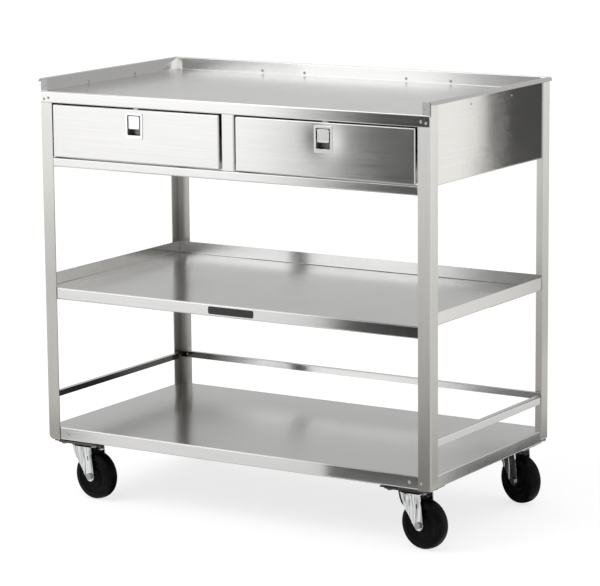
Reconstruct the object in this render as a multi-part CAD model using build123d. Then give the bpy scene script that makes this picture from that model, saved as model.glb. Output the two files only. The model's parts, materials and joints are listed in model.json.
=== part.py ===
from build123d import *

import math
import os

# Instrument cart: an angle-leg frame with three shelves, two drawers under the top and four casters.
# Millimetres. +X is the cart's right, -Y its front, +Z up. The origin is on the floor, at the centre.

# ---- driving dimensions -------------------------------------------------------------------------
WIDTH = 925.0            # across the legs
DEPTH = 500.0            # across the legs
HEIGHT = 890.0           # floor to the top of the splash

LEG_FLANGE = 28.6
LEG_THICK = 2.0
LEG_BOTTOM = 125.0
LEG_CORNER = 14.0        # rounding of each leg's lower outer corner

SHEET = 1.2              # shelf and panel sheet
BEND = 1.6               # inside radius of the sheet's bends
SEAM = 0.5               # gap where a sheet's end stops short of its neighbour

TOP_DECK = 864.0
SKIRT_BOTTOM = 839.6
SKIRT_BEND = 1.8         # inside radius of the skirt's bends
HEM_DROP = 6.5
HEM_OUT = 5.0
TAB_WIDTH = 15.0         # end tabs of the side splashes
PANEL_BOTTOM = 724.7

MIDDLE_DECK = 452.1
MIDDLE_LIP = 25.0
GALLERY = 25.2

LOWER_DECK = 153.5
LOWER_SKIRT = 27.4
RETURN_LIP = 10.0

RAIL_TOP = 726.6         # drawer rail
RAIL_BOTTOM = 707.6
DIVIDER_WIDTH = 31.0

GUARD_TOP = 229.0
GUARD_HEIGHT = 16.0
GUARD_FLANGE = 12.0
SIDE_GUARD_DROP = 3.0

DRAWER_GAP = 4.0         # front to leg or divider
DRAWER_TOP_GAP = 2.2
DRAWER_PROUD = 3.0       # the fronts stand out from the legs
DRAWER_PAN = 13.0        # depth of the drawer front's pan
BOX_SHEET = 1.0
BOX_BOTTOM = 737.0
BOX_TOP = 822.0
BOX_BACK = 206.0
RUNNER_Z = 775.0
RUNNER_HEIGHT = 30.0
RUNNER_SHEET = 1.5
RUNNER_SPACE = 13.2      # from the opening's side to the drawer box

CUP_WIDTH = 42.0         # bezel of the recessed pull
CUP_HEIGHT = 54.0
CUP_OPEN_WIDTH = 32.0
CUP_OPEN_HEIGHT = 41.0
CUP_DEPTH = 16.0
CUP_DROP = 6.4           # drawer front's top edge to the bezel
PADDLE = 26.6
PIN_RADIUS = 1.0
PIN_CLEARANCE = 0.05
TONGUE_WIDTH = 12.0

WHEEL_RADIUS = 50.8
WHEEL_WIDTH = 31.0
TRAIL = 32.0
CASTER_X = 397.6
CASTER_Y = 209.0
PLATE_BOTTOM = 118.5
PLATE_THICK = 2.5
PLATE_LENGTH = 95.0
PLATE_WIDTH = 67.0
BOLT_X = 38.1
BOLT_Y = 22.2
CROWN_TOP = 113.5
FORK_SHEET = 2.5
FORK_INNER = 18.5        # half the space between the fork's legs
FORK_NOSE = 28.0         # radius of the crown's rim
FORK_SHOULDER = (99.0, 25.6)   # height and nose radius part way down
FORK_WAIST = 84.0        # height where the nose is as narrow as the legs
KING_PIN_RADIUS = 6.0
AXLE_RADIUS = 4.0

HEADINGS = {"front_left": -9.0, "front_right": -9.0, "rear_left": -15.0, "rear_right": -21.0}

# ---- derived ------------------------------------------------------------------------------------
HALF_W = WIDTH / 2
HALF_D = DEPTH / 2
INNER_X = HALF_W - LEG_THICK                 # inside face of the legs' side flanges
INNER_Y = HALF_D - LEG_THICK
SPLASH_X = INNER_X - SHEET                   # outside face of the side splashes
SPLASH_Y = INNER_Y - SHEET
OPENING_OUT = HALF_W - LEG_FLANGE            # drawer opening, from the leg's inner edge
OPENING_IN = DIVIDER_WIDTH / 2
OPENING_HALF = (OPENING_OUT - OPENING_IN) / 2
DRAWER_X = (OPENING_OUT + OPENING_IN) / 2
UNDER_BEND = TOP_DECK - SHEET - SKIRT_BEND - 0.2   # clear of the skirt's upper bend
FRONT_HALF = OPENING_HALF - DRAWER_GAP
FRONT_TOP = SKIRT_BOTTOM - DRAWER_TOP_GAP
FRONT_BOTTOM = RAIL_TOP + DRAWER_TOP_GAP
FRONT_Y = -HALF_D - DRAWER_PROUD
BOX_FRONT_Y = FRONT_Y + DRAWER_PAN
BOX_HALF = OPENING_HALF - RUNNER_SPACE
CUP_TOP = FRONT_TOP - CUP_DROP
CUP_Z = CUP_TOP - CUP_HEIGHT / 2
CUP_OPEN_TOP = CUP_TOP - 5.0
CUP_OPEN_Z = CUP_OPEN_TOP - CUP_OPEN_HEIGHT / 2
PIN_Y = FRONT_Y + 2.2
PIN_Z = CUP_OPEN_TOP - 4.7
ARM = 5.5                                    # paddle pin to the tip that moves the tongue
TONGUE_Y = PIN_Y + ARM
AXLE_Z = WHEEL_RADIUS
CORNERS = {"front_left": (-1, -1), "front_right": (1, -1), "rear_left": (-1, 1), "rear_right": (1, 1)}
SIDES = {"left": -1, "right": 1}

# ---- rivets: point under the head, axis, grip, head radius, head height --------------------------
SPLASH_RIVETS = [
    ((x, SPLASH_Y - SHEET, TOP_DECK + 6.5), (0, -1, 0), 2 * SHEET, 3.2, 1.6) for x in (-233, -126, 126, 233)
] + [
    ((s * (SPLASH_X - SHEET), y, TOP_DECK + 5.0), (-s, 0, 0), 2 * SHEET, 3.2, 1.6)
    for s in SIDES.values() for y in (-85, 85)
] + [
    ((s * 450, -HALF_D, TOP_DECK + 12.0), (0, -1, 0), SHEET, 2.4, 1.2) for s in SIDES.values()
]
SKIRT_RIVETS = [
    ((s * x, -HALF_D - SHEET, SKIRT_BOTTOM + rise), (0, -1, 0), SHEET + LEG_THICK, 3.2, 1.7)
    for s in SIDES.values() for x, rise in ((441.5, 10.9), (452.5, 8.4))
]
LOWER_SHELF_RIVETS = [
    ((sx * 441, sy * HALF_D, 140.0), (0, sy, 0), LEG_THICK + SHEET, 3.4, 1.8) for sx, sy in CORNERS.values()
] + [
    ((sx * 413, sy * INNER_Y, 139.8), (0, sy, 0), SHEET, 3.6, 2.0) for sx, sy in CORNERS.values()
]
GUARD_RAIL_RIVETS = [
    ((s * 443, INNER_Y - SHEET, GUARD_TOP - 8.0), (0, -1, 0), SHEET + LEG_THICK, 2.8, 1.4)
    for s in SIDES.values()
]


# ---- helpers ------------------------------------------------------------------------------------
def box(x0, x1, y0, y1, z0, z1):
    """A box between two limits on each axis."""
    size = (x1 - x0, y1 - y0, z1 - z0)
    return Pos((x0 + x1) / 2, (y0 + y1) / 2, (z0 + z1) / 2) * Box(*size)


def rod(radius, start, axis, length):
    """A cylinder from a start point along an axis."""
    return extrude(Plane(start, z_dir=axis) * Circle(radius), length)


def sheet_profile(points, thickness=SHEET, bend=BEND):
    """Section of a bent sheet. The points run along one face, and the metal lies on their left."""
    path = [Vector(*point) for point in points]
    runs = [(b - a).normalized() for a, b in zip(path, path[1:])]
    lefts = [Vector(-run.Y, run.X) for run in runs]
    offset_path = [path[0] + lefts[0] * thickness]
    path_radii = []
    offset_radii = []
    for index, corner in enumerate(path[1:-1]):
        a, b = lefts[index], lefts[index + 1]
        offset_path.append(corner + (a + b) * (thickness / (1 + a.dot(b))))
        turns_left = runs[index].cross(runs[index + 1]).Z > 0
        path_radii.append(bend + thickness if turns_left else bend)
        offset_radii.append(bend if turns_left else bend + thickness)
    offset_path.append(path[-1] + lefts[-1] * thickness)
    near = FilletPolyline(*path, radius=path_radii)
    far = FilletPolyline(*offset_path, radius=offset_radii)
    ends = [Line(near @ 0, far @ 0), Line(near @ 1, far @ 1)]
    return make_face([*near.edges(), *far.edges(), *ends])


def along_x(profile, x0, x1):
    """Extrudes a (Y, Z) profile from x0 to x1."""
    return extrude(Plane((x0, 0, 0), x_dir=(0, 1, 0), z_dir=(1, 0, 0)) * profile, x1 - x0)


def along_y(profile, y0, y1):
    """Extrudes an (X, Z) profile from y0 to y1."""
    return extrude(Plane((0, y1, 0), x_dir=(1, 0, 0), z_dir=(0, -1, 0)) * profile, y1 - y0)


def mirrored(shape, side_x, side_y=1):
    """A copy of a right-hand, rear shape on another side of the cart."""
    if side_x < 0:
        shape = mirror(shape, about=Plane.YZ)
    if side_y < 0:
        shape = mirror(shape, about=Plane.XZ)
    return shape


def rounded_plate(width, height, radius, depth, x, y, z):
    """A plate facing the front, centred on x and z, from y back to y + depth."""
    return along_y(Pos(x, z) * RectangleRounded(width, height, radius), y, y + depth)


def dome(radius, height):
    """A shallow dome standing on the XY plane."""
    curve = (radius * radius + height * height) / (2 * height)
    section = make_face([
        Line((0, 0), (radius, 0)),
        RadiusArc((radius, 0), (0, height), -curve),
        Line((0, height), (0, 0)),
    ])
    return revolve(Plane.XZ * section, Axis.Z)


def rivet(point, axis, grip, radius, height):
    """A domed rivet: its head stands on a point, and its shank goes back through the grip to its tail."""
    shank = Pos(0, 0, -grip / 2) * Cylinder(radius / 2, grip)
    tail = Pos(0, 0, -grip) * Rot(180, 0, 0) * dome(radius * 0.85, height * 0.7)
    return Plane(point, z_dir=axis) * (dome(radius, height) + shank + tail)


def drilled(shape, places):
    """Cuts the shanks' holes of a list of rivets in one of the sheets they hold."""
    for point, axis, grip, radius, _ in places:
        hole = Plane(point, z_dir=axis) * Pos(0, 0, -grip / 2) * Cylinder(radius / 2, grip + 0.2)
        shape -= hole
    return shape


# ---- frame --------------------------------------------------------------------------------------
def leg(side_x, side_y):
    """An L-angle leg. Front legs stop under the deck on the front flange."""
    x, y = HALF_W, HALF_D
    section = sheet_profile([(x, y - LEG_FLANGE), (x, y), (x - LEG_FLANGE, y)], LEG_THICK, 0.4)
    angle = extrude(Plane.XY.offset(LEG_BOTTOM) * section, HEIGHT - 2.0 - LEG_BOTTOM)
    corner = box(x - LEG_CORNER, x + 1, 0, y + 1, LEG_BOTTOM - 1, LEG_BOTTOM + LEG_CORNER)
    corner -= rod(LEG_CORNER, (x - LEG_CORNER, -1, LEG_BOTTOM + LEG_CORNER), (0, 1, 0), y + 3)
    angle -= corner
    if side_y < 0:
        angle -= box(x - LEG_FLANGE - 1, x + 1, INNER_Y - SEAM, y + 1, UNDER_BEND, HEIGHT)
    angle = mirrored(angle, side_x, side_y)
    return drilled(angle, SKIRT_RIVETS + LOWER_SHELF_RIVETS + GUARD_RAIL_RIVETS)


def side_splash_profile():
    """Deck, right-hand splash and its outward hem, from the middle of the deck."""
    wall = SPLASH_X
    return sheet_profile([
        (0, TOP_DECK - SHEET), (wall, TOP_DECK - SHEET), (wall, HEIGHT - SHEET),
        (HALF_W - 0.4, HEIGHT - SHEET), (HALF_W - 0.4 + HEM_OUT, HEIGHT - SHEET - HEM_DROP),
    ], bend=0.8)


def rear_splash_profile():
    """Rear splash and hem, with the strip of deck in front of it."""
    wall = SPLASH_Y
    return sheet_profile([
        (0, TOP_DECK - SHEET), (wall, TOP_DECK - SHEET), (wall, HEIGHT - SHEET),
        (HALF_D - 0.4, HEIGHT - SHEET), (HALF_D - 0.4 + HEM_OUT, HEIGHT - SHEET - HEM_DROP),
    ], bend=0.8)


def front_skirt_profile(lip):
    """Deck edge turned down over the legs' front, with a return lip."""
    face = -HALF_D
    return sheet_profile([
        (face + lip, SKIRT_BOTTOM + SHEET), (face, SKIRT_BOTTOM + SHEET),
        (face, TOP_DECK - SHEET), (face + LEG_THICK, TOP_DECK - SHEET),
    ], bend=SKIRT_BEND)


def top_shelf():
    side = along_y(side_splash_profile(), -HALF_D, SPLASH_Y)
    rear = along_x(rear_splash_profile(), -SPLASH_X, SPLASH_X)
    hem_reach = HALF_W + 2.0
    hem = along_x(rear_splash_profile(), SPLASH_X - 1, hem_reach)
    hem -= box(0, hem_reach + 1, -1, HALF_D + 9, TOP_DECK - 9, HEIGHT - SHEET - HEM_DROP - 2)
    hem -= box(0, hem_reach + 1, -1, INNER_Y, TOP_DECK - 9, HEIGHT + 1)
    hem -= box(0, hem_reach + 1, -1, HALF_D + 0.1, TOP_DECK - 9, HEIGHT - SHEET)
    shelf = side + mirrored(side, -1) + rear + hem + mirrored(hem, -1)
    shelf += along_x(front_skirt_profile(11.0), -INNER_X, INNER_X)
    tab = box(SPLASH_X - TAB_WIDTH, INNER_X, -HALF_D, -HALF_D + SHEET, TOP_DECK - SHEET, HEIGHT - SHEET)
    shelf += tab + mirrored(tab, -1)
    behind = (-HALF_D, -HALF_D + 12)
    lip = (SKIRT_BOTTOM - 1, SKIRT_BOTTOM + 9)
    clear = box(-OPENING_IN - 0.3, OPENING_IN + 0.3, *behind, *lip)
    for side_x in SIDES.values():
        clear += mirrored(box(OPENING_OUT - 0.4, HALF_W, *behind, *lip), side_x)
        slot_x = side_x * DRAWER_X
        half = TONGUE_WIDTH / 2 + 1.5
        clear += box(slot_x - half, slot_x + half, TONGUE_Y - 3, TONGUE_Y + 3, *lip)
    return drilled(shelf - clear, SPLASH_RIVETS + SKIRT_RIVETS)


def side_panel(side_x):
    """Panel inside the legs' side flanges, with a return at its lower edge."""
    profile = sheet_profile([
        (INNER_X, HEIGHT - 2.0), (INNER_X, PANEL_BOTTOM), (INNER_X - 11.0, PANEL_BOTTOM),
    ][::-1])
    return drilled(mirrored(along_y(profile, -INNER_Y + SEAM, SPLASH_Y), side_x), SPLASH_RIVETS)


def rear_panel():
    profile = sheet_profile([
        (INNER_Y, HEIGHT - 2.0), (INNER_Y, PANEL_BOTTOM), (INNER_Y - 11.0, PANEL_BOTTOM),
    ][::-1])
    panel = along_x(profile, -SPLASH_X, SPLASH_X) - corner_reliefs(SPLASH_X, 12.0)
    return drilled(panel, SPLASH_RIVETS)


def corner_reliefs(x, reach):
    """Notches that keep the rear panel's lower return off the side panels' returns."""
    notch = box(x - reach, x + 1, 0, SPLASH_Y, PANEL_BOTTOM - 1, PANEL_BOTTOM + SHEET + BEND)
    return notch + mirrored(notch, -1)


def drawer_divider():
    """Deep channel between the drawers, open to the rear."""
    half = DIVIDER_WIDTH / 2
    section = sheet_profile([(half, 240), (half, -HALF_D), (-half, -HALF_D), (-half, 240)][::-1])
    return extrude(Plane.XY.offset(RAIL_TOP) * section, UNDER_BEND - RAIL_TOP)


def drawer_rail():
    """Channel under the drawer fronts, with a tab behind each leg's flange."""
    reach = OPENING_OUT - 0.5
    profile = sheet_profile([
        (-HALF_D + 13, RAIL_TOP), (-HALF_D, RAIL_TOP), (-HALF_D, RAIL_BOTTOM), (-HALF_D + 8, RAIL_BOTTOM),
    ])
    rail = along_x(profile, -reach, reach)
    tab = box(reach - 8, HALF_W - 8, -INNER_Y, -INNER_Y + SHEET, RAIL_BOTTOM, PANEL_BOTTOM - SEAM)
    return rail + tab + mirrored(tab, -1)


def gallery_corner_notches(bottom, top):
    """Small reliefs that clear the inside corners of the legs."""
    notch = box(INNER_X - 1.5, INNER_X + 1, INNER_Y - 1.5, INNER_Y + 1, bottom, top)
    notches = notch + mirrored(notch, -1)
    return notches + mirrored(notches, 1, -1)


def middle_shelf():
    """Shelf with the front edge turned down and the other three turned up."""
    deck = MIDDLE_DECK - SHEET
    top = MIDDLE_DECK + GALLERY
    side = along_y(sheet_profile([(0, deck), (INNER_X, deck), (INNER_X, top)]), -INNER_Y, INNER_Y)
    rear = along_x(sheet_profile([(0, deck), (INNER_Y, deck), (INNER_Y, top)]), -INNER_X, INNER_X)
    lip = along_x(sheet_profile([
        (-INNER_Y + 8, MIDDLE_DECK - MIDDLE_LIP), (-INNER_Y, MIDDLE_DECK - MIDDLE_LIP),
        (-INNER_Y, MIDDLE_DECK), (-INNER_Y + 20, MIDDLE_DECK),
    ][::-1]), -INNER_X, INNER_X)
    shelf = side + mirrored(side, -1) + rear + lip
    return shelf - gallery_corner_notches(MIDDLE_DECK - 40, top + 1)


def lower_shelf():
    """Flat shelf with all four edges turned down and returned inward."""
    bottom = LOWER_DECK - LOWER_SKIRT
    side = along_y(sheet_profile([
        (0, LOWER_DECK), (INNER_X, LOWER_DECK), (INNER_X, bottom), (INNER_X - RETURN_LIP, bottom),
    ][::-1]), -INNER_Y, INNER_Y)
    end = along_x(sheet_profile([
        (0, LOWER_DECK), (INNER_Y, LOWER_DECK), (INNER_Y, bottom), (INNER_Y - RETURN_LIP, bottom),
    ][::-1]), -INNER_X, INNER_X)
    shelf = side + mirrored(side, -1) + end + mirrored(end, 1, -1)
    return drilled(shelf - gallery_corner_notches(bottom - 1, LOWER_DECK + 1), LOWER_SHELF_RIVETS)


def guard_profile(edge, top):
    """Angle with a level flange on top, turned inward."""
    return sheet_profile([
        (edge, top - GUARD_HEIGHT), (edge, top), (edge - GUARD_FLANGE, top),
    ], thickness=SHEET)


def side_guard_rail(side_x):
    profile = guard_profile(INNER_X, GUARD_TOP - SIDE_GUARD_DROP)
    return mirrored(along_y(profile, -INNER_Y + SEAM, INNER_Y - GUARD_FLANGE - SEAM), side_x)


def rear_guard_rail():
    rail = along_x(guard_profile(INNER_Y, GUARD_TOP), -INNER_X + SEAM, INNER_X - SEAM)
    return drilled(rail, GUARD_RAIL_RIVETS)


def hat_stiffener(top, y, half_length):
    """Hat channel fixed under a deck, running across the cart."""
    depth, half, flange = 14.0, 18.0, 12.0
    profile = sheet_profile([
        (y - half - flange, top), (y - half, top), (y - half, top - depth), (y + half, top - depth),
        (y + half, top), (y + half + flange, top),
    ][::-1])
    return along_x(profile, -half_length, half_length)


def middle_shelf_stiffener():
    """Stops well short of the shelf's shallow end lips, so that it stays out of sight."""
    return hat_stiffener(MIDDLE_DECK - SHEET, 0.0, INNER_X - 80)


def lower_shelf_stiffener():
    return hat_stiffener(LOWER_DECK - SHEET, 0.0, INNER_X - 14)


def nameplate():
    """Blank plate with rounded corners on the middle shelf's front lip."""
    z = MIDDLE_DECK - MIDDLE_LIP / 2
    return rounded_plate(108.0, 15.5, 3.5, 1.0, 0.0, -INNER_Y - 1.0, z)


def rivets(places):
    """One node of rivets, from their list of (point, axis, grip, head radius, head height)."""
    return Compound(children=[rivet(*place) for place in places])


def latch_strikes():
    """A small plate over each latch tongue, on the skirt's return lip."""
    plates = []
    for side_x in SIDES.values():
        x = side_x * DRAWER_X
        z = SKIRT_BOTTOM + SHEET
        plate = box(x - 16, x + 16, -HALF_D + SKIRT_BEND, -HALF_D + 11, z, z + 1.5)
        half = TONGUE_WIDTH / 2 + 0.8
        plate -= box(x - half, x + half, TONGUE_Y - 2.0, TONGUE_Y + 2.0, z - 1, z + 9)
        plates.append(plate)
    return Compound(children=plates)


# ---- drawers ------------------------------------------------------------------------------------
def outer_runner(x, side):
    """Channel fixed to the cart at one side of a drawer opening; side points away from the drawer."""
    face = x + side * OPENING_HALF
    tip = face - side * 10.0
    low, high = RUNNER_Z - RUNNER_HEIGHT / 2, RUNNER_Z + RUNNER_HEIGHT / 2
    section = [(tip, high), (face, high), (face, low), (tip, low)]
    if side > 0:
        section = section[::-1]
    runner = along_y(sheet_profile(section, RUNNER_SHEET, 0.8), BOX_FRONT_Y + 3, BOX_BACK + 6)
    reach = SPLASH_X - abs(face)
    if reach < 60:
        for y in (-215.0, 165.0):
            out = math.copysign(SPLASH_X, face)
            bracket = box(min(face, out), max(face, out), y, y + 36, RUNNER_Z - 11, RUNNER_Z + 11)
            runner += bracket - box(-HALF_W, HALF_W, y + 2, y + 34, RUNNER_Z - 9, RUNNER_Z + 12)
    return runner


def outer_runners(side_x):
    return Compound(children=[outer_runner(side_x * DRAWER_X, side) for side in (-1, 1)])


def inner_runner(x, side):
    """Channel fixed to the drawer box, running inside the outer one."""
    face = x + side * BOX_HALF
    half = RUNNER_HEIGHT / 2 - RUNNER_SHEET - 0.5
    tip = x + side * (OPENING_HALF - RUNNER_SHEET - 1.0)
    low, high = RUNNER_Z - half, RUNNER_Z + half
    section = [(tip, high), (face, high), (face, low), (tip, low)]
    if side < 0:
        section = section[::-1]
    return along_y(sheet_profile(section, SHEET, 0.8), BOX_FRONT_Y + 6, BOX_BACK)


def inner_runners(side_x):
    return Compound(children=[inner_runner(side_x * DRAWER_X, side) for side in (-1, 1)])


def cup_hole(x, y0, y1):
    """Clearance hole for the recessed pull."""
    width = CUP_OPEN_WIDTH + 2 * SHEET + 0.6
    height = CUP_OPEN_HEIGHT + 2 * SHEET + 0.6
    return rounded_plate(width, height, 3.5, y1 - y0, x, y0, CUP_OPEN_Z)


def drawer_box(side_x):
    """Open-topped sheet box with a wider front wall."""
    x = side_x * DRAWER_X
    y0, y1 = BOX_FRONT_Y, BOX_BACK
    tray = box(x - BOX_HALF, x + BOX_HALF, y0, y1, BOX_BOTTOM, BOX_TOP)
    tray -= box(x - BOX_HALF + BOX_SHEET, x + BOX_HALF - BOX_SHEET, y0 + BOX_SHEET, y1 - BOX_SHEET,
                BOX_BOTTOM + BOX_SHEET, BOX_TOP + 1)
    hem = box(x - BOX_HALF, x + BOX_HALF, y0, y1, BOX_TOP - 8, BOX_TOP)
    hem -= box(x - BOX_HALF + 2.2, x + BOX_HALF - 2.2, y0 + 2.2, y1 - 2.2, BOX_TOP - 9, BOX_TOP + 1)
    wall = box(x - FRONT_HALF + 2, x + FRONT_HALF - 2, y0, y0 + BOX_SHEET, FRONT_BOTTOM + 2, FRONT_TOP - 2)
    return tray + hem + wall - cup_hole(x, y0 - 1, y0 + 4)


def drawer_front(side_x):
    """Pan with rolled edges, open to the rear."""
    x = side_x * DRAWER_X
    width, height = 2 * FRONT_HALF, FRONT_TOP - FRONT_BOTTOM
    z = (FRONT_TOP + FRONT_BOTTOM) / 2
    pan = rounded_plate(width, height, 3.0, DRAWER_PAN, x, FRONT_Y, z)
    pan = fillet(pan.faces().sort_by(Axis.Y)[0].edges(), 2.2)
    pan -= rounded_plate(width - 2 * SHEET, height - 2 * SHEET, 1.8, DRAWER_PAN, x, FRONT_Y + SHEET, z)
    pan -= cup_hole(x, FRONT_Y - 1, FRONT_Y + 2)
    half = TONGUE_WIDTH / 2 + 0.4
    return pan - box(x - half, x + half, TONGUE_Y - 1.4, TONGUE_Y + 1.4, FRONT_TOP - 4, FRONT_TOP + 1)


def pull_cup(side_x):
    """Bezel and cup of the recessed pull, with the pin's holes and the tongue's slot."""
    x = side_x * DRAWER_X
    bezel = rounded_plate(CUP_WIDTH, CUP_HEIGHT, 4.0, 1.5, x, FRONT_Y - 1.5, CUP_Z)
    bezel = fillet(bezel.faces().sort_by(Axis.Y)[0].edges(), 0.9)
    width, height = CUP_OPEN_WIDTH, CUP_OPEN_HEIGHT
    shell = rounded_plate(width + 2 * SHEET, height + 2 * SHEET, 3.2, CUP_DEPTH, x, FRONT_Y - 1, CUP_OPEN_Z)
    cup = bezel + shell
    cup -= rounded_plate(width, height, 2.0, CUP_DEPTH + 0.5 - SHEET, x, FRONT_Y - 1.5, CUP_OPEN_Z)
    cup -= rod(PIN_RADIUS, (x - CUP_WIDTH / 2, PIN_Y, PIN_Z), (1, 0, 0), CUP_WIDTH)
    half = TONGUE_WIDTH / 2 + 0.4
    return cup - box(x - half, x + half, TONGUE_Y - 1.4, TONGUE_Y + 1.4, CUP_OPEN_TOP - 1, CUP_TOP + 9)


def paddle_pin(side_x):
    half = CUP_OPEN_WIDTH / 2 + SHEET
    return rod(PIN_RADIUS, (side_x * DRAWER_X - half, PIN_Y, PIN_Z), (1, 0, 0), 2 * half)


def paddle_spring(side_x):
    """Torsion spring on the pin: close-wound turns, and one leg back along the cup's ceiling."""
    wire, coil, pitch, turns = 0.3, 1.4, 0.5, 7
    start = side_x * DRAWER_X + 5.4
    spring = Pos(start, PIN_Y, PIN_Z) * Rot(0, 90, 0) * Torus(coil, wire)
    for index in range(1, turns):
        spring += Pos(start + index * pitch, PIN_Y, PIN_Z) * Rot(0, 90, 0) * Torus(coil, wire)
    leg_x = start + (turns - 1) * pitch
    return spring + rod(wire, (leg_x, PIN_Y - 0.5, PIN_Z + coil), (0, 1, 0), 8.0)


def paddle(side_x):
    """Pull plate hung on the pin by two ears, with an arm that draws the tongue down."""
    x = side_x * DRAWER_X
    face = FRONT_Y - 1.2
    z = CUP_OPEN_TOP - 1.6 - PADDLE / 2
    plate = rounded_plate(PADDLE, PADDLE, 2.5, 1.5, x, face, z)
    plate = fillet(plate.faces().sort_by(Axis.Y)[0].edges(), 0.7)
    plate -= rounded_plate(PADDLE - 5, PADDLE - 5, 2.0, 0.5, x, face - 0.1, z)
    for centre, half in ((-12.0, 0.8), (12.0, 0.8), (0.0, 4.0)):
        knuckle = rod(2.3, (x + centre - half, PIN_Y, PIN_Z), (1, 0, 0), 2 * half)
        knuckle += box(x + centre - half, x + centre + half, face + 1.0, PIN_Y, PIN_Z - 2.3, PIN_Z + 2.3)
        plate += knuckle
    plate += box(x - 3.0, x + 3.0, PIN_Y, TONGUE_Y, PIN_Z - 0.8, PIN_Z + 0.8)
    plate += rod(0.8, (x - 3.0, TONGUE_Y, PIN_Z), (1, 0, 0), 6.0)
    return plate - rod(PIN_RADIUS + PIN_CLEARANCE, (x - 20, PIN_Y, PIN_Z), (1, 0, 0), 40)


def latch_tongue(side_x):
    """Strip that rises through the drawer's top edge, with a window for the paddle's arm."""
    x = side_x * DRAWER_X
    half = TONGUE_WIDTH / 2
    tongue = box(x - half, x + half, TONGUE_Y - 1.0, TONGUE_Y + 1.0, PIN_Z - 6.0, SKIRT_BOTTOM - 0.4)
    return tongue - box(x - 3.6, x + 3.6, TONGUE_Y - 2, TONGUE_Y + 2, PIN_Z - 1.8, PIN_Z + 1.8)


# ---- casters ------------------------------------------------------------------------------------
def corner_point(corner):
    side_x, side_y = CORNERS[corner]
    return side_x * CASTER_X, side_y * CASTER_Y


def at_corner(corner, shape, turned=True):
    """Places a caster piece, drawn on its swivel axis and trailing along +X, at a corner."""
    angle = HEADINGS[corner] if turned else 0.0
    x, y = corner_point(corner)
    return Pos(x, y, 0) * Rot(0, 0, angle) * shape


def bolt_holes(radius, z0, z1):
    return [Pos(sx * BOLT_X, sy * BOLT_Y, (z0 + z1) / 2) * Cylinder(radius, z1 - z0)
            for sx, sy in CORNERS.values()]


def caster_pad(corner):
    """Channel that carries the caster's load up to the deck."""
    top = LOWER_DECK - SHEET
    base = PLATE_BOTTOM + PLATE_THICK
    section = sheet_profile([(-49, top), (-49, base), (49, base), (49, top)], 2.5, 1.0)
    pad = along_y(section, -27, 27)
    foot = box(-54, 54, -35, 35, base, base + 2.5)
    pad += foot
    for hole in bolt_holes(4.1, base - 1, base + 4):
        pad -= hole
    return at_corner(corner, pad, turned=False)


def caster_pads():
    return Compound(children=[caster_pad(corner) for corner in CORNERS])


def caster_plate(corner):
    """Top plate with the swivel race and the king pin."""
    z = PLATE_BOTTOM
    plate = extrude(Plane.XY.offset(z) * RectangleRounded(PLATE_LENGTH, PLATE_WIDTH, 6), PLATE_THICK)
    race = Pos(0, 0, z - 2.0) * Cone(22.0, 27.0, 4.0)
    race -= Pos(0, 0, z - 2.0) * Cylinder(16.0, 4.2)
    pin_bottom = CROWN_TOP - FORK_SHEET - 3.6
    pin = Pos(0, 0, (pin_bottom + z + 1) / 2) * Cylinder(KING_PIN_RADIUS, z + 1 - pin_bottom)
    head = Pos(0, 0, pin_bottom + 1.5) * Cylinder(10.0, 3.0)
    plate += race + pin + head
    for hole in bolt_holes(4.1, z - 1, z + 4):
        plate -= hole
    return at_corner(corner, plate, turned=False)


def caster_bolt(x, y):
    """Hex bolt up through plate and pad, with its nut on the pad."""
    base = PLATE_BOTTOM + PLATE_THICK + 2.5
    head = Pos(0, 0, PLATE_BOTTOM - 4.0) * extrude(RegularPolygon(6.4, 6), 4.0)
    shank = Pos(0, 0, PLATE_BOTTOM - 1) * extrude(Circle(3.9), base + 8.5 - PLATE_BOTTOM)
    nut = Pos(0, 0, base) * extrude(RegularPolygon(6.6, 6), 5.5)
    return Pos(x, y, 0) * (head + shank + nut)


def caster_bolts():
    bolts = []
    for corner in CORNERS:
        x, y = corner_point(corner)
        bolts += [caster_bolt(x + sx * BOLT_X, y + sy * BOLT_Y) for sx, sy in CORNERS.values()]
    return Compound(children=bolts)


def fork_side_outline():
    """Side view of the fork in (X, Z): slanted front edge and a round end about the axle."""
    legs = make_hull([
        *Polyline((-4, FORK_WAIST), (-4, CROWN_TOP), (35, CROWN_TOP), close=True).edges(),
        Pos(TRAIL, AXLE_Z) * Edge.make_circle(11.0),
    ])
    nose = make_face(Polyline(
        (-40, 105), (-40, CROWN_TOP), (0, CROWN_TOP), (0, FORK_WAIST), (-4, FORK_WAIST), close=True))
    return legs + nose


def fork_plan(nose, half, reach=45.0):
    """Plan of the fork: a round nose about the king pin, with straight sides to the rear."""
    return make_hull([*Circle(nose).edges(), Line((reach, -half), (reach, half))])


def fork_solid(inset):
    """The fork's outer shape, filled, moved in by an inset: it flares to the crown's rim at the top."""
    half = FORK_INNER + FORK_SHEET - inset
    shoulder_z, shoulder_nose = FORK_SHOULDER
    levels = [(FORK_WAIST, half), (shoulder_z, shoulder_nose - inset), (CROWN_TOP, FORK_NOSE - inset)]
    flare = loft([Plane.XY.offset(z) * fork_plan(nose, half) for z, nose in levels], ruled=True)
    bottom = AXLE_Z - 12
    return flare + extrude(Plane.XY.offset(bottom) * fork_plan(half, half), FORK_WAIST - bottom)


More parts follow.
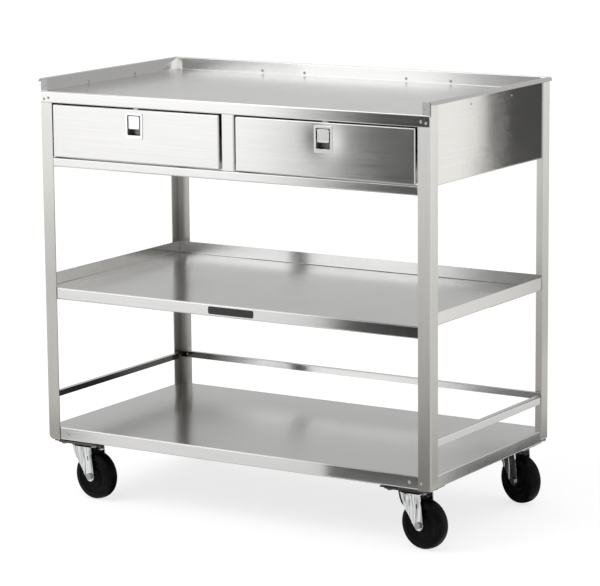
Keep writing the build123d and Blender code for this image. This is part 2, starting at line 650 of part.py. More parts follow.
def caster_fork(corner):
    """Stamped fork: a crown, a flared nose and two ribbed legs."""
    outer = FORK_INNER + FORK_SHEET
    inside = fork_solid(FORK_SHEET)
    outline = along_y(fork_side_outline(), -40, 40)
    fork = (fork_solid(0.0) - inside) & outline
    ribbed = (fork_solid(-1.2) - inside) & outline
    for centre in (1.0, 17.0):
        fork += ribbed & box(centre - 1.7, centre + 1.7, -40, 40, AXLE_Z, CROWN_TOP - FORK_SHEET)
    fork += extrude(Plane.XY.offset(CROWN_TOP - FORK_SHEET) * fork_plan(FORK_NOSE, outer, 34.0), FORK_SHEET)
    for side in (-1, 1):
        fork -= box(26, 28.5, side * outer - 4, side * outer + 4, 84, 94)
    fork -= Pos(0, 0, CROWN_TOP) * Cylinder(KING_PIN_RADIUS + 0.06, 12)
    fork -= rod(AXLE_RADIUS, (TRAIL, -40, AXLE_Z), (0, 1, 0), 80)
    return at_corner(corner, fork)


def caster_axle(corner):
    """Axle bolt with its head, nut and the sleeve that the wheel turns on."""
    outer = FORK_INNER + FORK_SHEET
    along = (0, 1, 0)
    bolt = rod(AXLE_RADIUS, (TRAIL, -outer - 4.0, AXLE_Z), along, 2 * outer + 11)
    head = Plane((TRAIL, -outer - 4.5, AXLE_Z), z_dir=along) * extrude(RegularPolygon(7.4, 6), 4.5)
    nut = Plane((TRAIL, outer, AXLE_Z), z_dir=along) * extrude(RegularPolygon(7.4, 6), 6.0)
    sleeve = rod(6.0, (TRAIL, -FORK_INNER, AXLE_Z), along, 2 * FORK_INNER)
    return at_corner(corner, bolt + head + nut + sleeve)


def caster_wheel(corner):
    """Solid wheel: crowned tread, dished sides and a hub boss, turned about the axle."""
    half, r = WHEEL_WIDTH / 2, WHEEL_RADIUS
    bore = 6.06
    side = Polyline(
        (bore, half + 2.0), (13.0, half + 2.0), (14.5, half - 2.5), (22.0, half - 4.5),
        (33.0, half - 3.5), (36.5, half - 0.8), (40.0, half), (44.0, half))
    shoulder = ThreePointArc((44.0, half), (r - 2.6, half - 2.4), (r - 1.2, half - 6.5))
    crown = ThreePointArc((r - 1.2, half - 6.5), (r, 0), (r - 1.2, 6.5 - half))
    upper = [*side.edges(), shoulder]
    lower = [mirror(edge, about=Plane.XZ) for edge in upper]
    hub = Line((bore, half + 2.0), (bore, -half - 2.0))
    wheel = revolve(make_face([*upper, crown, *lower, hub]), Axis.Y)
    return at_corner(corner, Pos(TRAIL, 0, AXLE_Z) * wheel)


# ---- build --------------------------------------------------------------------------------------
def build_nodes():
    nodes = {
        "top_shelf": top_shelf(),
        "rear_panel": rear_panel(),
        "drawer_divider": drawer_divider(),
        "drawer_rail": drawer_rail(),
        "middle_shelf": middle_shelf(),
        "middle_shelf_stiffener": middle_shelf_stiffener(),
        "lower_shelf": lower_shelf(),
        "lower_shelf_stiffener": lower_shelf_stiffener(),
        "rear_guard_rail": rear_guard_rail(),
        "nameplate": nameplate(),
        "latch_strikes": latch_strikes(),
        "splash_rivets": rivets(SPLASH_RIVETS),
        "skirt_rivets": rivets(SKIRT_RIVETS),
        "lower_shelf_rivets": rivets(LOWER_SHELF_RIVETS),
        "guard_rail_rivets": rivets(GUARD_RAIL_RIVETS),
        "caster_pads": caster_pads(),
        "caster_bolts": caster_bolts(),
    }
    for side, side_x in SIDES.items():
        nodes[f"{side}_side_panel"] = side_panel(side_x)
        nodes[f"{side}_guard_rail"] = side_guard_rail(side_x)
        nodes[f"{side}_outer_runners"] = outer_runners(side_x)
        nodes[f"{side}_inner_runners"] = inner_runners(side_x)
        nodes[f"{side}_drawer_box"] = drawer_box(side_x)
        nodes[f"{side}_drawer_front"] = drawer_front(side_x)
        nodes[f"{side}_pull_cup"] = pull_cup(side_x)
        nodes[f"{side}_paddle_pin"] = paddle_pin(side_x)
        nodes[f"{side}_paddle_spring"] = paddle_spring(side_x)
        nodes[f"{side}_paddle"] = paddle(side_x)
        nodes[f"{side}_latch_tongue"] = latch_tongue(side_x)
    for corner, (side_x, side_y) in CORNERS.items():
        nodes[f"{corner}_leg"] = leg(side_x, side_y)
        nodes[f"{corner}_caster_plate"] = caster_plate(corner)
        nodes[f"{corner}_caster_fork"] = caster_fork(corner)
        nodes[f"{corner}_caster_axle"] = caster_axle(corner)
        nodes[f"{corner}_caster_wheel"] = caster_wheel(corner)
    return nodes


os.makedirs("parts", exist_ok=True)
for node, shape in build_nodes().items():
    shape.label = node
    export_step(shape, f"parts/{node}.step")
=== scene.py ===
import json
import math

import bmesh
import bpy
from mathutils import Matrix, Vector


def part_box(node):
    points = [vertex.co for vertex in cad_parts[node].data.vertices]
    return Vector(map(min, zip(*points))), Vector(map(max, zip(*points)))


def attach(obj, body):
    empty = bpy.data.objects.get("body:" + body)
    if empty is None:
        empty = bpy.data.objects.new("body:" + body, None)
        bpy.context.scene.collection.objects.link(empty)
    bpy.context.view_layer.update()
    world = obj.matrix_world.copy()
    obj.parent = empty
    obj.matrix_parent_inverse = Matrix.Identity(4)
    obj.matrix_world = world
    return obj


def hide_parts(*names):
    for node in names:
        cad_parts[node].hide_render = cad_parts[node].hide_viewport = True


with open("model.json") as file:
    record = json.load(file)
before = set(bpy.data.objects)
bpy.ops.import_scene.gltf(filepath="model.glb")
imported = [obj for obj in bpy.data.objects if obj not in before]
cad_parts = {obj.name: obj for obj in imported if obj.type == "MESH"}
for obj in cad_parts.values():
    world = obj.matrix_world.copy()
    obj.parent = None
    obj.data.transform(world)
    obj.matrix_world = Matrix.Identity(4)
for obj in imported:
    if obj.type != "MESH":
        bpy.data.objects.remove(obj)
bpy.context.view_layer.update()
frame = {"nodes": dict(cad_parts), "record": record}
NODES = frame["nodes"]
RECORD = frame["record"]

CORNERS = ("front_left", "front_right", "rear_left", "rear_right")

# ---- places the finishes depend on, in metres ---------------------------------------------------
CUP_LOW, CUP_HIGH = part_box("right_pull_cup")
CUP_X = (CUP_LOW[0] + CUP_HIGH[0]) / 2
CUP_Z = (CUP_LOW[2] + CUP_HIGH[2]) / 2
CUP_FACE = CUP_LOW[1]
RECESS_START = CUP_FACE + 0.0025       # just behind the bezel, where the painted shade in the recess starts
RECESS_DARK = CUP_FACE + 0.008         # where the painted shade is full
DISH_RADIUS = 0.032                    # of the dent around each pull
DISH_DEPTH = 0.0009
SHELF_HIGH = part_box("top_shelf")[1]
SPLASH_START = SHELF_HIGH[0] - 0.0245  # inner edge of the side splashes' end tabs
SPLASH_FOOT = SHELF_HIGH[2] - 0.0255   # just over the deck
SPLASH_LEAN = 0.40                     # upward push on the normal there
LEG_LOW, LEG_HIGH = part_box("rear_left_leg")
SHADE_LEFT_OF = 0.40                    # faces looking right carry painted shade further left of the middle than this
REAR_SHADE_FADE = (-0.38, -0.24)          # X where the rear rail's painted shade starts to fade, and its end
SHEET_EDGE = 0.0006                    # rounding of sheet edges
FRONT_EDGE = 0.0012                    # the same on the drawer fronts and the sheet around them

# ---- finish of the steel ------------------------------------------------------------------------
FACING = 0.6                           # a face looks along an axis if its normal has more of it
GRAIN = (1600.0, 30.0)                 # noise cells per metre, across the grain and along it
STREAKS = (260.0, 5.0)                 # the same for the broader streaks
STREAK_TONES = (0.92, 1.06)            # factors on the colour, from the darkest streak to the lightest
CLOUDS = 7.0                           # cells per metre of the cloudy sheen
GRAIN_DEPTH = 0.00002                  # of grain, grit and orange peel, in metres
BRUSHING_DEPTH = 0.00001
MOULD_DEPTH = 0.00003
RECESS_SHADE_TONE = 0.18                     # painted shade: factor on the pulls' colour inside the recess
DUST = 0.008                           # what dust or haze adds to a black surface's colour

X_AXIS = (1.0, 0.0, 0.0)
Y_AXIS = (0.0, 1.0, 0.0)
Z_AXIS = (0.0, 0.0, 1.0)


# ---- shader helpers -----------------------------------------------------------------------------
def new_material(name):
    """A node material and its Principled shader."""
    material = bpy.data.materials.new(name)
    material.use_nodes = True
    return material, material.node_tree, material.node_tree.nodes["Principled BSDF"]


def add(tree, kind, inputs=(), **settings):
    """A shader node with its settings, and its inputs given as (socket, value or output) pairs."""
    node = tree.nodes.new("ShaderNode" + kind)
    for name, value in settings.items():
        setattr(node, name, value)
    for socket, value in inputs:
        if isinstance(value, bpy.types.NodeSocket):
            tree.links.new(value, node.inputs[socket])
        else:
            node.inputs[socket].default_value = value
    return node


def object_coordinates(tree):
    """Coordinates in metres that stay with a piece when it moves."""
    return add(tree, "TexCoord").outputs["Object"]


def stretched_noise(tree, scale, detail=3.0, roughness=0.6):
    """Noise that stays with the piece, with a scale in cells per metre for each axis."""
    mapping = add(tree, "Mapping", [("Vector", object_coordinates(tree)), ("Scale", scale)])
    noise = add(tree, "TexNoise", [("Vector", mapping.outputs[0]), ("Scale", 1.0), ("Detail", detail),
                                   ("Roughness", roughness)])
    return noise.outputs["Fac"]


def even_noise(tree, scale, detail=3.0, roughness=0.6):
    """The same with one scale for all axes."""
    return stretched_noise(tree, (scale, scale, scale), detail, roughness)


def ranged(tree, value, low, high, start=0.0, end=1.0, **settings):
    """Maps a value from start..end to low..high, and holds it to that range."""
    limits = [("From Min", start), ("From Max", end), ("To Min", low), ("To Max", high)]
    return add(tree, "MapRange", [("Value", value), *limits], **settings).outputs["Result"]


def absolute(tree, value):
    return add(tree, "Math", [(0, value)], operation="ABSOLUTE").outputs[0]


def negated(tree, value):
    return add(tree, "Math", [(0, value), (1, -1.0)], operation="MULTIPLY").outputs[0]


def compared(tree, value, limit):
    """1 where the value is over a limit, else 0."""
    return add(tree, "Math", [(0, value), (1, limit)], operation="GREATER_THAN").outputs[0]


def soft_edge(tree, radius=SHEET_EDGE):
    """Normal that rounds off the sharp edges of sheet and pressings."""
    return add(tree, "Bevel", [("Radius", radius)], samples=4).outputs["Normal"]


def bump(tree, height, distance, strength=1.0, normal=None):
    """Normal of a surface raised by height times distance."""
    node = add(tree, "Bump", [("Height", height), ("Distance", distance), ("Strength", strength)])
    if normal is not None:
        tree.links.new(normal, node.inputs["Normal"])
    return node.outputs["Normal"]


def mixed_colour(tree, factor, first, second):
    """One colour where the factor is 0, and a second where it is 1."""
    node = add(tree, "Mix", data_type="RGBA")
    tree.links.new(factor, node.inputs["Factor"])
    node.inputs["A"].default_value = (*first, 1.0)
    node.inputs["B"].default_value = (*second, 1.0)
    return node.outputs["Result"]


# ---- materials ----------------------------------------------------------------------------------
def grain_scale(axis, across, along):
    """Noise cells per metre on each axis, fewer along the grain."""
    return tuple(along if value else across for value in axis)


def side_splash(tree):
    """1 on the top shelf's left and right splashes, with their hems and front tabs."""
    position = add(tree, "SeparateXYZ", [(0, object_coordinates(tree))])
    at_end = compared(tree, absolute(tree, position.outputs["X"]), SPLASH_START)
    raised = compared(tree, position.outputs["Z"], SPLASH_FOOT)
    return add(tree, "Math", [(0, at_end), (1, raised)], operation="MULTIPLY").outputs[0]


def turned_up(tree, splash):
    """1 on sheet that faces left or right and on the side splashes, where the grain stands upright."""
    facing = add(tree, "SeparateXYZ", [(0, add(tree, "NewGeometry").outputs["True Normal"])])
    sideways = compared(tree, absolute(tree, facing.outputs["X"]), FACING)
    return add(tree, "Math", [(0, sideways), (1, splash)], operation="MAXIMUM").outputs[0]


def leaned_back(tree, normal, splash):
    """Tips the side splashes' normal up, so that their tabs mirror what is over the front cards."""
    lift = add(tree, "Math", [(0, splash), (1, SPLASH_LEAN)], operation="MULTIPLY")
    offset = add(tree, "CombineXYZ", [("Z", lift.outputs[0])])
    total = add(tree, "VectorMath", [(0, normal), (1, offset.outputs[0])], operation="ADD")
    return add(tree, "VectorMath", [(0, total.outputs[0])], operation="NORMALIZE").outputs[0]


def grain_noise(tree, axis, across, along, detail, roughness, turned=None):
    """Noise drawn out along the grain, which is upright where the sheet is turned up."""
    flat = stretched_noise(tree, grain_scale(axis, across, along), detail, roughness)
    if turned is None:
        return flat
    upright = stretched_noise(tree, grain_scale(Z_AXIS, across, along), detail, roughness)
    mix = add(tree, "Mix", [("Factor", turned), ("A", flat), ("B", upright)], data_type="FLOAT")
    return mix.outputs[0]


def grain_tangent(tree, axis, turned=None):
    """Tangent along the grain, for the drawn-out highlight."""
    tangent = add(tree, "CombineXYZ", list(zip("XYZ", axis))).outputs[0]
    if turned is None:
        return tangent
    upright = add(tree, "CombineXYZ", list(zip("XYZ", Z_AXIS))).outputs[0]
    node = add(tree, "Mix", data_type="VECTOR")
    vector_sockets = [socket for socket in node.inputs if socket.type == "VECTOR"]
    tree.links.new(turned, node.inputs["Factor"])
    tree.links.new(tangent, vector_sockets[-2])
    tree.links.new(upright, vector_sockets[-1])
    return [socket for socket in node.outputs if socket.type == "VECTOR"][0]


def painted_foot_shade(tree, fresh):
    """Painted shade: the legs' colour darkens and warms towards the floor, for the darker floor they
    mirror.
    """
    position = add(tree, "SeparateXYZ", [(0, object_coordinates(tree))])
    height = ranged(tree, position.outputs["Z"], 0.0, 1.0, LEG_LOW[2], LEG_HIGH[2])
    tone = mixed_colour(tree, height, LEG_FOOT_SHADE, (1.0, 1.0, 1.0))
    product = add(tree, "Mix", data_type="RGBA", blend_type="MULTIPLY")
    product.inputs["Factor"].default_value = 1.0
    tree.links.new(fresh, product.inputs["A"])
    tree.links.new(tone, product.inputs["B"])
    return product.outputs["Result"]


def painted_left_shade(tree, fresh, side_strength, rear_strength):
    """Painted shade: darkens faces near the left end, those that look right and those that look to the
    front.
    """
    geometry = add(tree, "NewGeometry")
    facing = add(tree, "SeparateXYZ", [(0, geometry.outputs["True Normal"])])
    position = add(tree, "SeparateXYZ", [(0, object_coordinates(tree))])
    at_left = compared(tree, negated(tree, position.outputs["X"]), SHADE_LEFT_OF)
    to_side = ranged(tree, compared(tree, facing.outputs["X"], FACING), 0.0, side_strength)
    side = add(tree, "Math", [(0, to_side), (1, at_left)], operation="MULTIPLY")
    fading_out = ranged(tree, position.outputs["X"], rear_strength, 0.0, *REAR_SHADE_FADE)
    to_front = compared(tree, negated(tree, facing.outputs["Y"]), FACING)
    rear = add(tree, "Math", [(0, fading_out), (1, to_front)], operation="MULTIPLY")
    dark = add(tree, "Math", [(0, side.outputs[0]), (1, rear.outputs[0])], operation="MAXIMUM")
    mix = add(tree, "Mix", data_type="RGBA")
    tree.links.new(dark.outputs[0], mix.inputs["Factor"])
    tree.links.new(fresh, mix.inputs["A"])
    mix.inputs["B"].default_value = (*LEFT_SHADE_COLOUR, 1.0)
    return mix.outputs["Result"]


def brushed_steel(name, axis, base, roughness, anisotropy, wave=0.0005, wave_scale=4.0,
                  turns_up=False, dished=False, foot_shade=False, left_shade=None):
    """Brushed stainless: fine grain along one axis, cloudy sheen, and sheet that isn't quite flat.

    turns_up stands the grain upright on faces to the left and right, dished dents the sheet around
    the pulls, foot_shade paints shade that darkens it towards the floor, and left_shade is how much
    painted shade darkens faces near the left end, first those that look right and then those that
    look to the front.
    """
    material, tree, shader = new_material(name)
    shader.inputs["Metallic"].default_value = 1.0
    shader.inputs["Anisotropic"].default_value = anisotropy
    shader.inputs["Anisotropic Rotation"].default_value = 0.25
    splash = side_splash(tree) if turns_up else None
    turned = turned_up(tree, splash) if turns_up else None
    tree.links.new(grain_tangent(tree, axis, turned), shader.inputs["Tangent"])
    fine = grain_noise(tree, axis, *GRAIN, 2.0, 0.6, turned)
    streaks = grain_noise(tree, axis, *STREAKS, 4.0, 0.65, turned)
    clouds = even_noise(tree, CLOUDS, 4.0)
    dark = tuple(STREAK_TONES[0] * value for value in base)
    light = tuple(STREAK_TONES[1] * value for value in base)
    colour = mixed_colour(tree, streaks, dark, light)
    # painted shade towards the floor
    if foot_shade:
        colour = painted_foot_shade(tree, colour)
    # painted shade on faces near the left end
    if left_shade:
        colour = painted_left_shade(tree, colour, *left_shade)
    tree.links.new(colour, shader.inputs["Base Color"])
    spread = roughness / 6
    along_grain = ranged(tree, streaks, -spread, spread)
    in_clouds = ranged(tree, clouds, -spread, spread)
    sheen = add(tree, "Math", [(0, along_grain), (1, in_clouds)], operation="ADD")
    total = add(tree, "Math", [(0, sheen.outputs[0]), (1, roughness)], operation="ADD")
    tree.links.new(total.outputs[0], shader.inputs["Roughness"])
    waves = even_noise(tree, wave_scale, 1.0, 0.4)
    edge = soft_edge(tree, FRONT_EDGE if dished else SHEET_EDGE)
    if turns_up:
        edge = leaned_back(tree, edge, splash)
    normal = bump(tree, waves, wave, normal=edge)
    if dished:
        normal = bump(tree, dish(tree), DISH_DEPTH, normal=normal)
    normal = bump(tree, fine, GRAIN_DEPTH, 0.5, normal)
    tree.links.new(normal, shader.inputs["Normal"])
    return material


def dish(tree):
    """Height of a shallow dent around each pull, a bell curve of depth 1."""
    position = add(tree, "SeparateXYZ", [(0, object_coordinates(tree))])
    sideways = absolute(tree, position.outputs["X"])
    across = add(tree, "Math", [(0, sideways), (1, CUP_X)], operation="SUBTRACT")
    up = add(tree, "Math", [(0, position.outputs["Z"]), (1, CUP_Z)], operation="SUBTRACT")
    offset = add(tree, "CombineXYZ", [("X", across.outputs[0]), ("Y", up.outputs[0])])
    reach = add(tree, "VectorMath", [(0, offset.outputs[0])], operation="LENGTH")
    scaled = add(tree, "Math", [(0, reach.outputs["Value"]), (1, DISH_RADIUS)], operation="DIVIDE")
    square = add(tree, "Math", [(0, scaled.outputs[0]), (1, 2.0)], operation="POWER")
    exponent = negated(tree, square.outputs[0])
    fall = add(tree, "Math", [(0, math.e), (1, exponent)], operation="POWER")
    return negated(tree, fall.outputs[0])


def plated_steel(name, base, roughness, scale=60.0, darkest=0.9, drawn_out=1.0,
                 contrast=(0.0, 1.0)):
    """Plated or bare hardware: mottled between its colour and darkest times it.

    drawn_out stretches the mottling upright, and contrast is the range of noise from dark to light.
    """
    material, tree, shader = new_material(name)
    shader.inputs["Metallic"].default_value = 1.0
    mottle = stretched_noise(tree, (scale, scale, scale / drawn_out), 5.0)
    dark = tuple(darkest * value for value in base)
    blend = ranged(tree, mottle, 0.0, 1.0, *contrast)
    tree.links.new(mixed_colour(tree, blend, dark, base), shader.inputs["Base Color"])
    sheen = ranged(tree, mottle, roughness - 0.05, roughness + 0.07)
    tree.links.new(sheen, shader.inputs["Roughness"])
    grit = even_noise(tree, 900.0, 2.0)
    tree.links.new(bump(tree, grit, GRAIN_DEPTH, 0.4, soft_edge(tree)), shader.inputs["Normal"])
    return material


def pull_steel(name, base, roughness):
    """Satin pressing, with painted shade that darkens it inside the recess."""
    material, tree, shader = new_material(name)
    shader.inputs["Metallic"].default_value = 1.0
    position = add(tree, "SeparateXYZ", [(0, object_coordinates(tree))])
    inside = ranged(tree, position.outputs["Y"], 0.0, 1.0, RECESS_START, RECESS_DARK)
    recess_shade = tuple(RECESS_SHADE_TONE * value for value in base)
    tree.links.new(mixed_colour(tree, inside, base, recess_shade), shader.inputs["Base Color"])
    brushing = stretched_noise(tree, (1200.0, 1200.0, 40.0), 2.0)
    sheen = ranged(tree, brushing, roughness - 0.04, roughness + 0.06)
    tree.links.new(sheen, shader.inputs["Roughness"])
    normal = bump(tree, brushing, BRUSHING_DEPTH, 0.4, soft_edge(tree))
    tree.links.new(normal, shader.inputs["Normal"])
    return material


def rubber(name, base, roughness):
    """Hard black rubber: faint mould texture, dust and scuffs."""
    material, tree, shader = new_material(name)
    shader.inputs["Specular IOR Level"].default_value = 0.05
    dust = even_noise(tree, 45.0, 6.0, 0.7)
    grey = tuple(value + DUST for value in base)
    tree.links.new(mixed_colour(tree, ranged(tree, dust, 0.0, 1.0, 0.5, 0.85), base, grey),
                   shader.inputs["Base Color"])
    sheen = ranged(tree, dust, roughness - 0.06, roughness + 0.1)
    tree.links.new(sheen, shader.inputs["Roughness"])
    grit = even_noise(tree, 1400.0, 2.0)
    tree.links.new(bump(tree, grit, MOULD_DEPTH, 0.4), shader.inputs["Normal"])
    return material


def enamel(name, base):
    """Black enamel with a little orange peel."""
    material, tree, shader = new_material(name)
    cloud = even_noise(tree, 90.0)
    light = tuple(value + DUST for value in base)
    tree.links.new(mixed_colour(tree, cloud, base, light), shader.inputs["Base Color"])
    tree.links.new(ranged(tree, cloud, 0.3, 0.42), shader.inputs["Roughness"])
    peel = even_noise(tree, 700.0, 2.0)
    tree.links.new(bump(tree, peel, GRAIN_DEPTH, 0.4), shader.inputs["Normal"])
    return material


STEEL = (0.585, 0.58, 0.57)
# Colour of the painted shade near the left end, on the guard rails and the legs
LEFT_SHADE_COLOUR = (0.06, 0.06, 0.055)
LEG_STEEL = (0.69, 0.685, 0.67)
LEG_FOOT_SHADE = (0.62, 0.60, 0.57)     # painted shade: factor on the legs' colour at the floor
SHEET_X = brushed_steel("stainless_grain_x", X_AXIS, STEEL, 0.16, 0.93, turns_up=True)
SHEET_Y = brushed_steel("stainless_grain_y", Y_AXIS, STEEL, 0.07, 0.97, wave_scale=5.0)
FRONTS = brushed_steel("stainless_fronts", X_AXIS, STEEL, 0.20, 0.95, wave=0.0004, dished=True)
# The legs carry painted shade towards the floor and near the left end, the guard rails near the left
# end
LEGS = brushed_steel("stainless_legs", Z_AXIS, LEG_STEEL, 0.30, 0.9, foot_shade=True, left_shade=(0.6, 0.0))
SIDE_GUARDS = brushed_steel("side_guards", Y_AXIS, STEEL, 0.12, 0.95, left_shade=(1.0, 1.0))
REAR_GUARD = brushed_steel("rear_guard", X_AXIS, STEEL, 0.12, 0.95, left_shade=(1.0, 1.0))
RUNNERS = plated_steel("galvanised_runners", (0.62, 0.63, 0.64), 0.35, 25.0, darkest=0.8)
ZINC = plated_steel("bright_zinc", (0.66, 0.67, 0.67), 0.10, 150.0, darkest=0.08, drawn_out=16.0,
                    contrast=(0.28, 0.54))
# Painted shade: the caster plates and pads under the shelf are coloured near black
SHADE_ZINC = plated_steel("zinc_in_painted_shade", (0.10, 0.10, 0.10), 0.25)
HARDWARE = plated_steel("zinc_hardware", (0.36, 0.37, 0.37), 0.20, 120.0, darkest=0.6)
SATIN = pull_steel("satin_pressing", (0.74, 0.74, 0.735), 0.24)
SPRING_STEEL = plated_steel("spring_steel", (0.55, 0.55, 0.55), 0.3, 200.0)
RIVETS = plated_steel("bright_rivets", (0.38, 0.38, 0.37), 0.14, 200.0)
TYRE = rubber("black_rubber", (0.0022, 0.0024, 0.0021), 0.34)
PLATE_BLACK = enamel("black_enamel", (0.006, 0.006, 0.007))


def paint(node, material):
    """Gives a CAD node one procedural material."""
    mesh = NODES[node].data
    mesh.materials.clear()
    mesh.materials.append(material)


def material_of(node):
    """The material of each CAD node, from its name."""
    if "wheel" in node:
        return TYRE
    if "nameplate" in node:
        return PLATE_BLACK
    if "rivets" in node:
        return RIVETS
    if node == "caster_bolts" or "axle" in node:
        return HARDWARE
    # caster plates and pads sit in painted shade under the shelf
    if node == "caster_pads" or node.endswith("caster_plate"):
        return SHADE_ZINC
    if "caster" in node:
        return ZINC
    if "runners" in node:
        return RUNNERS
    if "pull_cup" in node or node.endswith("_paddle"):
        return SATIN
    if "spring" in node or "pin" in node or "tongue" in node:
        return SPRING_STEEL
    if "leg" in node:
        return LEGS
    if node == "rear_guard_rail":
        return REAR_GUARD
    if node.endswith("guard_rail"):
        return SIDE_GUARDS
    if node.endswith("side_panel"):
        return SHEET_Y
    if "drawer_front" in node or node in ("drawer_rail", "drawer_divider"):
        return FRONTS
    return SHEET_X


for node in NODES:
    paint(node, material_of(node))


# ---- wheels -------------------------------------------------------------------------------------
# (radius, half width) from the bore to the middle of the tread
WHEEL_SIDE = [
    (0.00606, 0.0175), (0.0125, 0.0175), (0.0134, 0.0169), (0.0142, 0.0134),  # hub boss
    (0.0215, 0.0118), (0.0221, 0.0127), (0.0237, 0.0127), (0.0243, 0.0119),   # step in the web
    (0.0335, 0.0117), (0.0352, 0.0125),
    (0.0362, 0.0152), (0.0368, 0.0156), (0.0380, 0.0156), (0.0386, 0.0149),   # raised ring
    (0.0394, 0.0146), (0.0440, 0.0149),
    (0.0466, 0.0139), (0.0486, 0.0117), (0.0500, 0.0084), (0.0506, 0.0044),   # tread
    (0.0508, 0.0)]
WHEEL_STEPS = 128


def lathe(name, centre, axis, profile):
    """A closed ring turned about a level axis from a closed (radius, offset) profile."""
    along = Vector(axis).normalized()
    up = Vector(Z_AXIS)
    across = along.cross(up)
    mesh = bmesh.new()
    rings = []
    for step in range(WHEEL_STEPS):
        angle = 2 * math.pi * step / WHEEL_STEPS
        outward = math.cos(angle) * up + math.sin(angle) * across
        rings.append([mesh.verts.new(Vector(centre) + radius * outward + offset * along)
                      for radius, offset in profile])
    for here, after in zip(rings, rings[1:] + rings[:1]):
        for index in range(len(profile)):
            later = (index + 1) % len(profile)
            mesh.faces.new((here[index], here[later], after[later], after[index])).smooth = True
    bmesh.ops.recalc_face_normals(mesh, faces=mesh.faces)
    data = bpy.data.meshes.new(name)
    mesh.to_mesh(data)
    mesh.free()
    obj = bpy.data.objects.new(name, data)
    bpy.context.scene.collection.objects.link(obj)
    return obj


def make_wheels():
    """Moulded wheels, shown in place of the plainer CAD ones."""
    joints = {joint["name"]: joint for joint in RECORD["behaviour"]["joints"]}
    profile = WHEEL_SIDE + [(radius, -half) for radius, half in reversed(WHEEL_SIDE[:-1])]
    for corner in CORNERS:
        joint = joints[corner + "_wheel_spin"]
        wheel = lathe(corner + "_moulded_wheel", joint["pos_m"], joint["axis"], profile)
        wheel.data.materials.append(TYRE)
        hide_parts(corner + "_caster_wheel")
        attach(wheel, corner + "_wheel")


make_wheels()


# ---- studio -------------------------------------------------------------------------------------
FRONT = -3.5                           # Y of the front cards
FRONT_SPLIT = 1.1                      # height at which the upper front card takes over
OVERHEAD = 3.2                         # height of the overhead card
CARD_LIFT = 0.003                      # height of floor cards over the floor
FLOOR_REACH = 40.0                     # from the middle of the floor to its edges


def glowing(name, colour, strength):
    """A material that only glows."""
    material = bpy.data.materials.new(name)
    material.use_nodes = True
    tree = material.node_tree
    tree.nodes.clear()
    light = add(tree, "Emission", [("Color", (*colour, 1.0)), ("Strength", strength)])
    output = add(tree, "OutputMaterial")
    tree.links.new(light.outputs[0], output.inputs["Surface"])
    return material


def fading(name, start, end, near, far):
    """A glow that runs from one strength to another between two X positions."""
    material = glowing(name, (0.97, 1.0, 0.98), near)
    tree = material.node_tree
    position = add(tree, "SeparateXYZ", [(0, object_coordinates(tree))])
    strength = ranged(tree, position.outputs["X"], near, far, start, end,
                      interpolation_type="SMOOTHSTEP")
    tree.links.new(strength, tree.nodes["Emission"].inputs["Strength"])
    return material


def card(name, corners, material):
    """A studio card, seen only in reflections."""
    mesh = bpy.data.meshes.new(name)
    mesh.from_pydata(corners, [], [list(range(len(corners)))])
    mesh.materials.append(material)
    obj = bpy.data.objects.new(name, mesh)
    bpy.context.scene.collection.objects.link(obj)
    obj.visible_camera = False
    obj.visible_diffuse = False
    obj.visible_shadow = False
    obj.visible_transmission = False


def standing_card(name, start, end, low, high, material):
    """An upright card over the line between two floor points."""
    card(name, [(*start, low), (*end, low), (*end, high), (*start, high)], material)


def floor_card(name, corners, material):
    """A card lying just over the floor."""
    card(name, [(x, y, CARD_LIFT) for x, y in corners], material)


def make_cards():
    """Bright and dark cards for the steel to mirror."""
    bright = glowing("bright_card", (1.0, 1.0, 1.0), 1.7)
    upper = glowing("upper_card", (0.97, 0.99, 1.0), 2.5)
    fade = fading("fading_card", -2.05, -1.55, 1.6, 0.03)
    dark = glowing("dark_card", (0.9, 1.0, 0.93), 0.04)
    shade = glowing("shade_card", (1.0, 1.0, 0.96), 0.10)
    dim = glowing("dim_card", (1.0, 0.98, 0.94), 0.25)
    warm = glowing("warm_card", (1.0, 0.985, 0.96), 1.35)
    lamp = glowing("lamp_card", (1.0, 0.99, 0.97), 1.75)
    overhead = glowing("overhead_card", (1.0, 1.0, 1.0), 2.4)
    standing_card("front_bright_card", (-7.0, FRONT), (-2.0, FRONT), 0.0, FRONT_SPLIT, bright)
    standing_card("front_fading_card", (-2.0, FRONT), (-0.95, FRONT), 0.0, FRONT_SPLIT, fade)
    standing_card("front_upper_card", (-7.0, FRONT), (-1.8, FRONT), FRONT_SPLIT, 3.0, upper)
    floor_card("front_floor_card", [(0.03, -0.56), (-1.7, -3.45), (-0.95, -3.45), (0.45, -0.56)], dark)
    floor_card("left_floor_card", [(-0.95, -0.85), (-0.74, -0.85), (-0.7, -0.6), (-0.95, -0.6)], dim)
    floor_card("gallery_card", [(-2.5, -2.3), (-1.97, -2.3), (-1.9, -1.95), (-2.4, -1.95)], dark)
    standing_card("side_bright_card", (3.0, 3.9), (3.0, 4.74), 0.0, 2.5, warm)
    standing_card("side_lamp_card", (3.0, 0.9), (3.0, 3.9), 0.0, 2.2, lamp)
    floor_card("side_floor_bright_card", [(1.25, 1.5), (2.98, 4.8), (2.98, 3.0), (1.7, 1.1)], warm)
    floor_card("side_floor_card", [(2.36, 3.52), (3.65, 5.8), (2.68, 6.36), (1.62, 3.52)], shade)
    standing_card("side_dark_card", (3.65, 5.75), (2.68, 6.36), 0.0, 1.6, shade)
    # Painted shadow: a dark card on the floor under the cart, mirrored by the steel, for the cart's
    # shadow there
    floor_card("under_cart_shadow_card", [(-0.46, -0.22), (0.46, -0.22), (0.46, 0.26), (-0.46, 0.26)], dark)
    floor_card("skirt_card", [(0.62, 0.02), (0.78, 0.40), (0.78, 1.0), (0.62, 0.9)], dark)
    spread = [(-2.0, -2.4), (2.0, -2.4), (2.0, 0.4), (-2.0, 0.4)]
    card("overhead_card", [(x, y, OVERHEAD) for x, y in spread], overhead)
    standing_card("rear_dark_card", (0.05, 1.75), (1.15, 1.75), 0.0, 0.76, dark)


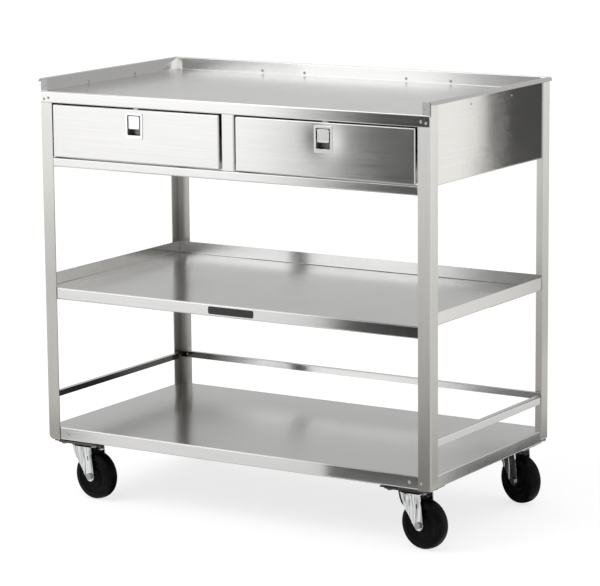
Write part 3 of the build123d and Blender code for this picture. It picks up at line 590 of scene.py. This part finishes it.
def make_lights():
    """White surroundings, dimmer in a band over the horizon, and a soft light that isn't mirrored."""
    world = bpy.data.worlds.new("studio")
    world.use_nodes = True
    tree = world.node_tree
    direction = add(tree, "TexCoord").outputs["Generated"]
    height = add(tree, "SeparateXYZ", [(0, direction)]).outputs["Z"]
    falling = ranged(tree, height, 0.86, 0.60, 0.10, 0.24)
    rising = ranged(tree, height, 0.0, 0.25, 0.35, 0.7)
    total = add(tree, "Math", [(0, falling), (1, rising)], operation="ADD")
    background = tree.nodes["Background"]
    background.inputs["Color"].default_value = (1.0, 1.0, 1.0, 1.0)
    tree.links.new(total.outputs[0], background.inputs["Strength"])
    bpy.context.scene.world = world

    key = bpy.data.lights.new("key_light", "AREA")
    key.shape = "RECTANGLE"
    key.size = 3.0
    key.size_y = 2.0
    key.energy = 60.0
    light = bpy.data.objects.new("key_light", key)
    light.location = (-2.2, -2.6, 3.4)
    aim = Vector((0.0, 0.0, 0.4)) - light.location
    light.rotation_euler = aim.to_track_quat("-Z", "Y").to_euler()
    light.visible_glossy = False
    bpy.context.scene.collection.objects.link(light)


def make_floor():
    """Seamless floor that is bright mostly by its own glow, so that shadows stay faint."""
    mesh = bpy.data.meshes.new("floor")
    corners = [(-FLOOR_REACH, -FLOOR_REACH), (FLOOR_REACH, -FLOOR_REACH), (FLOOR_REACH, FLOOR_REACH),
               (-FLOOR_REACH, FLOOR_REACH)]
    mesh.from_pydata([(x, y, 0.0) for x, y in corners], [], [(0, 1, 2, 3)])
    floor = bpy.data.objects.new("floor", mesh)
    bpy.context.scene.collection.objects.link(floor)
    material, tree, shader = new_material("pale_floor")
    cloud = even_noise(tree, 0.8)
    grey = mixed_colour(tree, cloud, (0.36, 0.36, 0.36), (0.38, 0.38, 0.38))
    tree.links.new(grey, shader.inputs["Base Color"])
    shader.inputs["Roughness"].default_value = 0.9
    shader.inputs["Specular IOR Level"].default_value = 0.0
    shader.inputs["Emission Color"].default_value = (1.0, 1.0, 1.0, 1.0)
    shader.inputs["Emission Strength"].default_value = 0.74
    mesh.materials.append(material)


def make_camera():
    """A long lens, looking from the right of the front and from a little above."""
    data = bpy.data.cameras.new("camera")
    data.sensor_width = 36.0
    data.lens = 170.77
    data.clip_end = 200.0
    camera = bpy.data.objects.new("camera", data)
    camera.location = (3.0939, -4.9503, 1.5158)
    camera.rotation_euler = [math.radians(angle) for angle in (79.549, 0.508, 31.823)]
    bpy.context.scene.collection.objects.link(camera)
    bpy.context.scene.camera = camera


bpy.context.scene.view_settings.view_transform = "Standard"
make_cards()
make_lights()
make_floor()
make_camera()
